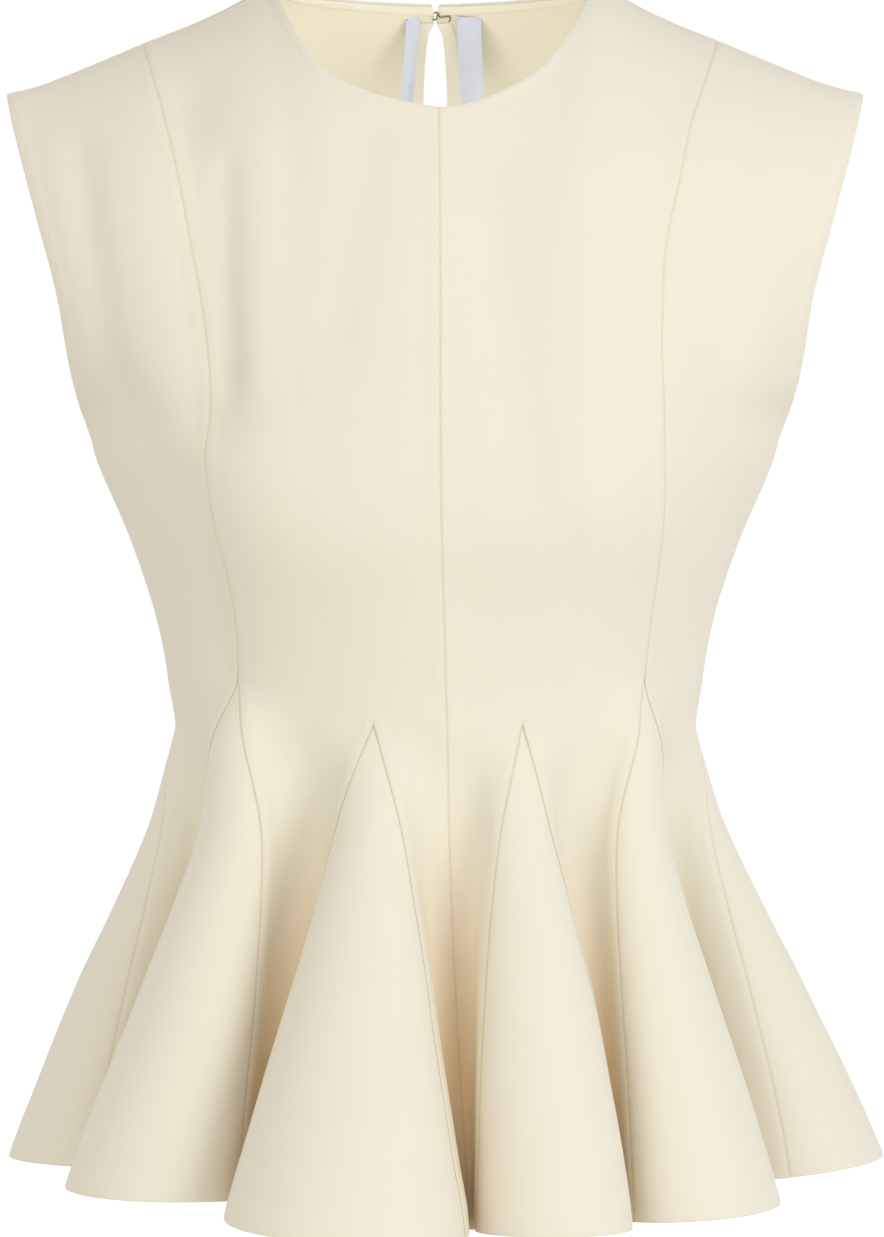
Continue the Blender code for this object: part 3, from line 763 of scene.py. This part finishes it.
def crease_relief(points, normals):
    """The soft creases of the worn cloth and the slight unevenness of any sewn and steamed garment."""
    x, y, height = (points[..., i] for i in range(3))
    total = np.zeros(x.shape)
    for facing, start_x, start_height, end_x, end_height, spread, depth in CREASES:
        way_x, way_z = end_x - start_x, end_height - start_height
        along = ((x - start_x) * way_x + (height - start_height) * way_z) / (way_x**2 + way_z**2)
        along = np.clip(along, 0, 1)
        away = np.hypot(x - start_x - along * way_x, height - start_height - along * way_z)
        total -= depth * np.exp(-((away / spread) ** 2)) * eased(facing * normals[..., 1], 0.1, 0.5)
    uneven = np.sin(x / 23 + height / 41 + 1.3) * np.sin(y / 29 - height / 34 + 0.4)
    uneven = uneven + 0.6 * np.sin(x / 13 - height / 57) * np.sin(height / 19 + y / 17 + 2.1)
    return total + UNEVENNESS * uneven * eased(-height, 60, 110)


def painted_fold_light(grid):
    """Where to paint golden bounce light and shade: how deep in a fold of the hem each point lies, where
    light turns golden from cloth to cloth.
    """
    from_valley = np.abs(grid[..., 0] - np.round(grid[..., 0]))
    down = (SPLIT - grid[..., 1]) / (SPLIT - HEM_LEVEL)
    return np.exp(-((from_valley / PAINTED_FOLD_LIGHT_WIDTH) ** 2)) * eased(down, 0.2, 0.8)


def cloth(name, outer, inner, finish, seam_shade_share=None, painted_fold_share=None, slit=None):
    """A piece of cloth cut flat as a grid, with its slit, given two faces and laid on its points."""
    rows, columns = outer.shape[0] - 1, outer.shape[1] - 1
    cut = np.stack([lengths(outer, 1), lengths(outer, 0)], -1) * MM
    bm = bmesh.new()
    bmesh.ops.create_grid(bm, x_segments=columns, y_segments=rows, size=0.5)
    if slit:
        slit_row, slit_column = slit
        in_slit = [
            face
            for face in bm.faces
            if slit_column < (face.calc_center_median().x + 0.5) * columns < slit_column + 1
            and (0.5 - face.calc_center_median().y) * rows > slit_row
        ]
        bmesh.ops.delete(bm, geom=in_slit, context="FACES")
    raised = bmesh.ops.extrude_face_region(bm, geom=bm.faces[:], use_keep_orig=True)
    for item in raised["geom"]:
        if isinstance(item, bmesh.types.BMVert):
            item.co.z = 1
    cut_place = bm.verts.layers.float_vector.new("cut_place")
    # Where the outer face gets painted shade along its seams.
    painted_seam_shade = bm.verts.layers.float.new("painted_seam_shade")
    # Where the outer face gets painted golden bounce light and shade in the hem's folds.
    fold = bm.verts.layers.float.new("painted_fold_light")
    for vertex in bm.verts:
        across, down = round((vertex.co.x + 0.5) * columns), round((0.5 - vertex.co.y) * rows)
        outside = vertex.co.z > 0.5
        vertex.co = (outer if outside else inner)[down, across] * MM
        vertex[cut_place] = (*cut[down, across], 0)
        vertex[painted_seam_shade] = seam_shade_share[down, across] if outside and seam_shade_share is not None else 0
        vertex[fold] = painted_fold_share[down, across] if outside and painted_fold_share is not None else 0
    bmesh.ops.recalc_face_normals(bm, faces=bm.faces[:])
    if bm.calc_volume(signed=True) < 0:
        bmesh.ops.reverse_faces(bm, faces=bm.faces[:])
    mesh = bpy.data.meshes.new(name)
    bm.to_mesh(mesh)
    bm.free()
    mesh.shade_smooth()
    mesh.set_sharp_from_angle(angle=math.radians(50))
    made = bpy.data.objects.new(name, mesh)
    bpy.context.scene.collection.objects.link(made)
    made.data.materials.append(finish)
    return made


def declare_sheet(piece, outer, node):
    """Work out the flat size of a piece, which nothing uses, hide the solid that it stands for and attach the
    piece to the root.
    """
    width = max(lengths(outer, 1)[:, -1].max() * MM, 0.0101)
    length = max(lengths(outer, 0)[-1].max() * MM, 0.0101)
    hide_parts(node)
    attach(piece, "root")


def sewn_piece(name, grid, lines, finish, slit=None):
    """A panel or godet with its seams, edges and creases, standing for the solid of the same name."""
    points, normals = worn_surface(grid[..., 0], grid[..., 1]), outward(grid[..., 0], grid[..., 1])
    relief, rounding, seam_shade_share = finish_of(points, [Line(points[part], kind) for part, kind in lines])
    relief = (relief - rounding + crease_relief(points, normals))[..., None]
    outer = points + normals * relief
    inner = points + normals * (crease_relief(points, normals) - WALL + rounding)[..., None]
    piece = cloth(f"knit_{name}", outer, inner, finish, seam_shade_share, painted_fold_light(grid), slit)
    declare_sheet(piece, outer, name)
    return points, normals


def panels(half, word, finish):
    """The four panels of the front or the back. The back's centre panels come back for its trims."""
    trimmed = {}
    for side, hand in ((-1, "left"), (1, "right")):
        grid, neck_column = panel_grid(half, side, centre=True)
        slit_row = int(np.argmin(np.abs(np.array(LOWER_LEVELS) - SLIT_POINT))) + len(UPPER_ROWS) - 1
        edge = len(HALF_CELL_SHARES) - 1
        below = slice(slit_row, None)
        lines = [
            ((slice(None), -1), "seam"),
            ((0, slice(neck_column, None)), "seam"),
            ((0, slice(0, neck_column + 1)), "neck"),
            ((below, edge), "seam"),
            ((below, edge + 1), "seam"),
            ((-1, slice(None)), "hem"),
        ]
        if half.back:
            closed = int(np.argmax(grid[:, 0, 1] < KEYHOLE[-1][0]))
            lines += [((slice(closed, None), 0), "seam"), ((slice(0, closed), 0), "keyhole")]
        else:
            lines += [((slice(None), 0), "seam")]
        faces = sewn_piece(f"{word}_centre_{hand}", grid, lines, finish, (slit_row, edge))
        trimmed[hand] = (*faces, neck_column)
        grid, _ = panel_grid(half, side, centre=False)
        underarm = int(np.argmax(grid[:, -1, 1] <= UNDERARM))
        lines = [
            ((slice(None), 0), "seam"),
            ((0, slice(None)), "seam"),
            ((slice(0, underarm + 1), -1), "armhole"),
            ((slice(underarm, None), -1), "seam"),
            ((-1, slice(None)), "hem"),
        ]
        sewn_piece(f"{word}_side_{hand}", grid, lines, finish)
    return trimmed


def godets(finish):
    for number, godet in enumerate(GODETS):
        sides = [((slice(None), edge), "godet_seam") for edge in (0, -1)]
        lines = [*sides, ((-1, slice(None)), "hem")]
        sewn_piece(godet[0], godet_grid(number), lines, finish)


def read_along(row, reached, places):
    """A row of points or directions, read at places along its length."""
    return np.stack([np.interp(places, reached, row[:, i]) for i in range(3)], -1)


def turned_strip(name, points, normals, width, finish, node):
    """A strip of cloth turned to the inside. Its rows start on the edge that it finishes."""
    along = lengths(points, 1)
    places = width * np.array(STRIP_SHARES)
    across = np.array([read_along(row, reached, places) for row, reached in zip(points, along)])
    out = np.array([read_along(row, reached, places) for row, reached in zip(normals, along)])
    out /= np.linalg.norm(out, axis=-1, keepdims=True)
    rounded = 0.3 * np.exp(-np.minimum(places, width - places) / 0.4)[None, :, None]
    outer = across - out * (WALL + STRIP_GAP)
    inner = across - out * (WALL + STRIP_GAP + STRIP_WALL - rounded)
    piece = cloth(name, outer, inner, finish)
    declare_sheet(piece, outer, node)


def back_trims(trimmed, finish):
    """The band inside the back of the neck, and the strips along the keyhole."""
    for hand, (points, normals, neck_column) in trimmed.items():
        neck = slice(0, neck_column + 1)
        top = points[:24, neck].swapaxes(0, 1), normals[:24, neck].swapaxes(0, 1)
        turned_strip(f"knit_neck_band_{hand}", *top, BAND_HEIGHT, finish, f"neck_band_{hand}")
        rows = (points[:, 0, 2] < KEYHOLE[0][0] - BAND_HEIGHT) & (points[:, 0, 2] > KEYHOLE[-1][0] + 1)
        sides = points[rows, :20], normals[rows, :20]
        turned_strip(f"knit_keyhole_strip_{hand}", *sides, STRIP_WIDTH, finish, f"keyhole_strip_{hand}")


def satin_label(name, x, lower_x, width, turn, back_face, finish, node):
    """A bare satin label, sewn at its top to the neck band and hanging free, a little curled."""
    down = np.linspace(0, 1, 36)[:, None]
    half = np.linspace(-0.5, 0.5, 11)[None] * width
    turned = math.radians(turn) * down**1.3
    middle = x + (lower_x - x) * down**1.5
    lean = 2.0 * np.sin(down * math.pi) + 0.25 * np.sin(down * 9) * (half / width)
    curl = 0.5 * np.cos(half / width * math.pi) * down
    front = np.stack(
        [
            middle + half * np.cos(turned),
            back_face - lean - np.abs(half * np.sin(turned)) + curl,
            np.broadcast_to(LABEL_TOP - LABEL_LENGTH * down, (len(down), half.shape[1])),
        ],
        -1,
    )
    piece = cloth(name, front, front + np.array([0, LABEL_WALL, 0]), finish)
    declare_sheet(piece, front, node)
    return front


def round_wire(name, path, thickness, finish):
    """A bent round wire or thread with rounded ends."""
    curve = bpy.data.curves.new(name, "CURVE")
    curve.dimensions = "3D"
    curve.bevel_depth = thickness / 2 * MM
    curve.bevel_resolution = 4
    curve.use_fill_caps = True
    curve.resolution_u = 6
    spline = curve.splines.new("NURBS")
    spline.points.add(len(path) - 1)
    for point, place in zip(spline.points, path):
        point.co = (*(np.array(place) * MM), 1)
    spline.use_endpoint_u = True
    spline.order_u = 3
    made = bpy.data.objects.new(name, curve)
    bpy.context.scene.collection.objects.link(made)
    made.data.materials.append(finish)
    return made


def arc(middle, radius, start, end, count):
    """Points of an arc seen from the front, with angles in degrees from +X."""
    turn = np.radians(np.linspace(start, end, count))
    return [(middle[0] + radius * math.cos(a), middle[1], middle[2] + radius * math.sin(a)) for a in turn]


def hook_and_eye(face, finish):
    """The hook and eye that close the neck, each one bent wire with two loops to sew through."""
    low, high = HOOK_HEIGHT - LOOP_LIFT, HOOK_HEIGHT + LOOP_LIFT
    # The eye hangs aslant: its upper loop is nearer the opening than its lower one.
    eye = arc((EYE_X + 1.2, face, high + EYE_SLANT), WIRE_LOOP, 40, 260, 9)
    eye += arc((EYE_X, face, HOOK_HEIGHT), EYE_SIZE, 80, 280, 9)
    eye += arc((EYE_X + 3.2, face, low - EYE_SLANT), WIRE_LOOP, 120, -80, 9)
    # The hook's wire runs from one loop over the eye, turns back in its bill and ends in the other loop.
    hook = arc((HOOK_X, face, high), WIRE_LOOP, 140, 330, 9)
    hook += [(HOOK_BILL_X - 0.2, face - 0.4, HOOK_HEIGHT + 0.45)]
    hook += [(HOOK_BILL_X - 1.0, face - 1.0, HOOK_HEIGHT + HOOK_BILL_HALF)]
    hook += [(HOOK_BILL_X, face - 0.8, HOOK_HEIGHT)]
    hook += [(HOOK_BILL_X - 1.0, face - 1.0, HOOK_HEIGHT - HOOK_BILL_HALF)]
    hook += [(HOOK_BILL_X - 0.2, face - 0.4, HOOK_HEIGHT - 0.45)]
    hook += arc((HOOK_X, face, low), WIRE_LOOP, 30, -140, 9)
    for node, path in (("neck_eye", eye), ("neck_hook", hook)):
        piece = round_wire(f"steel_{node}", path, WIRE, finish)
        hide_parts(node)
        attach(piece, "root")


def label_stitches(label, top, face, finish):
    """The short bar tacks that hold a label's top corners."""
    start = LABEL_TOP - STITCH_BELOW_TOP
    for number, x in enumerate((top[0] + STITCH_INWARD, top[-1] - STITCH_INWARD)):
        path = [(x, face + 0.3, start), (x, face - 0.4, start - STITCH / 2), (x, face + 0.3, start - STITCH)]
        tack = round_wire(f"thread_{label}_{number}", path, THREAD, finish)
        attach(tack, "root")


def linear(hex_colour):
    """A colour written as in a picture editor, as the linear values that nodes use."""
    values = [int(hex_colour[i : i + 2], 16) / 255 for i in (1, 3, 5)]
    return (*[v / 12.92 if v <= 0.04045 else ((v + 0.055) / 1.055) ** 2.4 for v in values], 1)


def add_node(made, kind, values=None, links=None, **settings):
    """One node of a material with its settings, its socket values and what is linked to it."""
    node = made.node_tree.nodes.new(kind)
    for name, value in settings.items():
        setattr(node, name, value)
    for socket, value in (values or {}).items():
        node.inputs[socket].default_value = value
    for socket, source in (links or {}).items():
        made.node_tree.links.new(source, node.inputs[socket])
    return node


def new_material(name):
    made = bpy.data.materials.new(name)
    made.use_nodes = True
    return made, made.node_tree.nodes["Principled BSDF"]


def double_knit(name, colour, deep_colour):
    """Matte cream double knit: dull, dense and almost without a visible stitch, with a faint downy sheen."""
    made, shader = new_material(name)
    cut = add_node(made, "ShaderNodeAttribute", attribute_name="cut_place")
    # Where seams get painted shade.
    thread = add_node(made, "ShaderNodeAttribute", attribute_name="painted_seam_shade")
    where = add_node(made, "ShaderNodeTexCoord")
    # Wales stand 0.55 mm apart and courses 0.45 mm.
    wales = add_node(
        made,
        "ShaderNodeTexWave",
        {"Scale": WAVE_REPEAT / WALE, "Distortion": 0.6, "Detail": 1.0},
        {"Vector": cut.outputs["Vector"]},
        bands_direction="X",
    )
    courses = add_node(
        made,
        "ShaderNodeTexWave",
        {"Scale": WAVE_REPEAT / COURSE, "Distortion": 0.8, "Detail": 1.0},
        {"Vector": cut.outputs["Vector"]},
        bands_direction="Y",
    )
    stitches = add_node(
        made,
        "ShaderNodeMath",
        links={0: wales.outputs["Fac"], 1: courses.outputs["Fac"]},
        operation="MULTIPLY",
    )
    # The pebbled hand of the yarn, drawn at 1.4 mm so that it shows at all.
    pebble = add_node(
        made,
        "ShaderNodeTexNoise",
        {"Scale": 1 / PEBBLE, "Detail": 2.0, "Roughness": 0.6},
        {"Vector": cut.outputs["Vector"]},
    )
    fine = add_node(
        made,
        "ShaderNodeBump",
        {"Strength": 0.35, "Distance": 0.00009},
        {"Height": stitches.outputs[0]},
    )
    hand = add_node(
        made,
        "ShaderNodeBump",
        {"Strength": 0.3, "Distance": 0.00012},
        {"Height": pebble.outputs["Fac"], "Normal": fine.outputs["Normal"]},
    )
    # Cloth takes dye and handling unevenly: patches some 60 mm across, barely seen.
    patches = add_node(
        made,
        "ShaderNodeTexNoise",
        {"Scale": 1 / DYE_PATCH, "Detail": 3.0},
        {"Vector": where.outputs["Object"]},
    )
    even = add_node(
        made,
        "ShaderNodeMapRange",
        {"From Min": 0.3, "From Max": 0.7, "To Min": 0.0, "To Max": 0.12},
        {"Value": patches.outputs["Fac"]},
    )
    tone = add_node(
        made,
        "ShaderNodeMix",
        {"A": linear(colour), "B": linear(deep_colour)},
        {"Factor": even.outputs["Result"]},
        data_type="RGBA",
    )
    # Painted bounce light and shade: deep in the hem's folds light goes from cloth to cloth and comes out
    # golden, so the colour is painted golden there.
    warm = add_node(made, "ShaderNodeAttribute", attribute_name="painted_fold_light")
    warming = add_node(made, "ShaderNodeMath", {1: PAINTED_FOLD_TINT}, {0: warm.outputs["Fac"]}, operation="MULTIPLY")
    golden = add_node(
        made,
        "ShaderNodeMix",
        {"B": linear(PAINTED_FOLD_GOLD)},
        {"Factor": warming.outputs[0], "A": tone.outputs["Result"]},
        data_type="RGBA",
    )
    # Painted shade: light dies in the fold of a seam, so it is painted as a thin tan line.
    seam = add_node(
        made,
        "ShaderNodeMath",
        {1: PAINTED_SEAM_TINT},
        {0: thread.outputs["Fac"]},
        operation="MULTIPLY",
    )
    final = add_node(
        made,
        "ShaderNodeMix",
        {"B": linear(PAINTED_SEAM_TAN)},
        {"Factor": seam.outputs[0], "A": golden.outputs["Result"]},
        data_type="RGBA",
    )
    made.node_tree.links.new(final.outputs["Result"], shader.inputs["Base Color"])
    made.node_tree.links.new(hand.outputs["Normal"], shader.inputs["Normal"])
    shader.inputs["Roughness"].default_value = 0.88
    shader.inputs["Specular IOR Level"].default_value = 0.22
    shader.inputs["Sheen Weight"].default_value = 0.12
    shader.inputs["Sheen Roughness"].default_value = 0.6
    shader.inputs["Sheen Tint"].default_value = linear("#FFF8EA")
    return made


def satin(name, colour):
    """Woven polyester satin: cool white, smooth, with a soft glint along its warp."""
    made, shader = new_material(name)
    cut = add_node(made, "ShaderNodeAttribute", attribute_name="cut_place")
    # Warp ends 0.25 mm apart.
    warp = add_node(
        made,
        "ShaderNodeTexWave",
        {"Scale": WAVE_REPEAT / WARP_END, "Distortion": 0.4},
        {"Vector": cut.outputs["Vector"]},
        bands_direction="X",
    )
    uneven = add_node(
        made,
        "ShaderNodeTexNoise",
        {"Scale": 1 / 0.006, "Detail": 2.0},
        {"Vector": cut.outputs["Vector"]},
    )
    tone = add_node(
        made,
        "ShaderNodeMix",
        {"A": linear(colour), "B": linear(LABEL_SHADE)},
        {"Factor": uneven.outputs["Fac"]},
        data_type="RGBA",
    )
    bump = add_node(
        made,
        "ShaderNodeBump",
        {"Strength": 0.25, "Distance": 0.00004},
        {"Height": warp.outputs["Fac"]},
    )
    made.node_tree.links.new(tone.outputs["Result"], shader.inputs["Base Color"])
    made.node_tree.links.new(bump.outputs["Normal"], shader.inputs["Normal"])
    shader.inputs["Roughness"].default_value = 0.42
    shader.inputs["Anisotropic"].default_value = 0.5
    shader.inputs["Sheen Weight"].default_value = 0.1
    return made


def sewing_thread(name):
    """Spun polyester sewing thread: grey-blue, dull, a little fuzzy."""
    made, shader = new_material(name)
    where = add_node(made, "ShaderNodeTexCoord")
    # Its twist comes round every 0.5 mm.
    twist = add_node(made, "ShaderNodeTexNoise", {"Scale": 1 / 0.0005}, {"Vector": where.outputs["Object"]})
    bump = add_node(
        made,
        "ShaderNodeBump",
        {"Strength": 0.4, "Distance": 0.00005},
        {"Height": twist.outputs["Fac"]},
    )
    made.node_tree.links.new(bump.outputs["Normal"], shader.inputs["Normal"])
    shader.inputs["Base Color"].default_value = linear(THREAD_GREY)
    shader.inputs["Roughness"].default_value = 0.7
    return made


def steel_wire(name):
    """Nickel-plated steel wire, drawn: bright, with fine scratches along it."""
    made, shader = new_material(name)
    where = add_node(made, "ShaderNodeTexCoord")
    scratches = add_node(
        made,
        "ShaderNodeTexNoise",
        {"Scale": 1 / 0.0004, "Detail": 4.0},
        {"Vector": where.outputs["Object"]},
    )
    gloss = add_node(
        made,
        "ShaderNodeMapRange",
        {"To Min": 0.18, "To Max": 0.34},
        {"Value": scratches.outputs["Fac"]},
    )
    made.node_tree.links.new(gloss.outputs["Result"], shader.inputs["Roughness"])
    shader.inputs["Base Color"].default_value = linear(WIRE_GREY)
    shader.inputs["Metallic"].default_value = 1.0
    return made


def painted_floor(name):
    """A sweep of matte white paint, with no more grain than a rolled wall has."""
    made, shader = new_material(name)
    where = add_node(made, "ShaderNodeTexCoord")
    grain = add_node(made, "ShaderNodeTexNoise", {"Scale": 1 / 0.02}, {"Vector": where.outputs["Object"]})
    bump = add_node(
        made,
        "ShaderNodeBump",
        {"Strength": 0.05, "Distance": 0.0005},
        {"Height": grain.outputs["Fac"]},
    )
    made.node_tree.links.new(bump.outputs["Normal"], shader.inputs["Normal"])
    # The far end of the floor is lit as the wall behind it is.
    parts = add_node(made, "ShaderNodeSeparateXYZ", links={"Vector": where.outputs["Object"]})
    glow = add_node(
        made,
        "ShaderNodeMapRange",
        {"From Min": 0.6, "From Max": 3.2, "To Min": 0.0, "To Max": FLOOR_GLOW},
        {"Value": parts.outputs["Y"]},
        interpolation_type="SMOOTHSTEP",
    )
    made.node_tree.links.new(glow.outputs["Result"], shader.inputs["Emission Strength"])
    shader.inputs["Base Color"].default_value = linear("#DEDEDC")
    shader.inputs["Roughness"].default_value = 0.9
    shader.inputs["Emission Color"].default_value = (1, 1, 1, 1)
    return made


def white_floor():
    """A plain pale floor well below the hem."""
    bm = bmesh.new()
    bmesh.ops.create_grid(bm, x_segments=1, y_segments=1, size=FLOOR_HALF_SIZE)
    bmesh.ops.translate(bm, verts=bm.verts, vec=(0, 0, FLOOR))
    mesh = bpy.data.meshes.new("floor")
    bm.to_mesh(mesh)
    bm.free()
    floor = bpy.data.objects.new("floor", mesh)
    floor.data.materials.append(painted_floor("white_paint"))
    bpy.context.scene.collection.objects.link(floor)


def white_room():
    """A lit white wall behind the top, and a dimmer room in front of it."""
    world = bpy.data.worlds.new("white_room")
    world.use_nodes = True
    way = add_node(world, "ShaderNodeTexCoord")
    parts = add_node(world, "ShaderNodeSeparateXYZ", links={"Vector": way.outputs["Generated"]})
    wall = add_node(
        world,
        "ShaderNodeMapRange",
        {"From Min": 0.35, "From Max": 0.95, "To Min": ROOM_LIGHT, "To Max": BACKDROP_LIGHT},
        {"Value": parts.outputs["Y"]},
        interpolation_type="SMOOTHSTEP",
    )
    background = world.node_tree.nodes["Background"]
    background.inputs["Color"].default_value = (1, 1, 1, 1)
    world.node_tree.links.new(wall.outputs["Result"], background.inputs["Strength"])
    bpy.context.scene.world = world


def soft_lights():
    """Round soft lamps. The strongest is at the front right."""
    for name, place, aim, size, power, colour in LIGHTS:
        light = bpy.data.lights.new(name, "AREA")
        light.shape = "DISK"
        light.size = size
        light.energy = power
        light.color = linear(colour)[:3]
        lamp = bpy.data.objects.new(name, light)
        lamp.location = place
        lamp.visible_camera = False
        toward = np.array(aim) - np.array(place)
        turn = math.atan2(toward[1], toward[0]) - math.pi / 2
        tilt = math.acos(-toward[2] / np.linalg.norm(toward))
        lamp.rotation_euler = (tilt, 0, turn)
        bpy.context.scene.collection.objects.link(lamp)


def camera():
    """A long lens straight in front of the top and level with its middle."""
    data = bpy.data.cameras.new("camera")
    data.sensor_fit = "VERTICAL"
    data.sensor_height = SENSOR_HEIGHT
    data.lens = SENSOR_HEIGHT * CAMERA_DISTANCE / (PICTURE_HEIGHT * MILLIMETRES_A_PIXEL)
    made = bpy.data.objects.new("camera", data)
    made.location = (PICTURE_MIDDLE_X * MM, -CAMERA_DISTANCE * MM, PICTURE_MIDDLE_HEIGHT * MM)
    made.rotation_euler = (math.pi / 2, 0, 0)
    bpy.context.scene.collection.objects.link(made)
    bpy.context.scene.camera = made


def main():
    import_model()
    camera()
    white_floor()
    white_room()
    soft_lights()
    bpy.context.scene.view_settings.view_transform = "Standard"

    knit = double_knit("cream_double_knit", KNIT_CREAM, KNIT_DEEP)
    facing = double_knit("cream_double_knit_facing", FACING_CREAM, KNIT_CREAM)
    label_satin = satin("white_polyester_satin", LABEL_WHITE)
    thread = sewing_thread("polyester_sewing_thread")
    steel = steel_wire("nickel_plated_steel_wire")

    panels(FRONT, "front", knit)
    trimmed = panels(BACK, "back", knit)
    godets(knit)
    back_trims(trimmed, facing)
    for name, x, lower_x, width, turn in LABELS:
        back_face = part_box(name)[1][1] / MM - 1.0
        label = satin_label(f"satin_{name}", x, lower_x, width, turn, back_face, label_satin, name)
        label_stitches(name, label[0, :, 0], label[0, 0, 1], thread)
    hook_and_eye(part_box("neck_hook")[0][1] / MM, steel)


main()
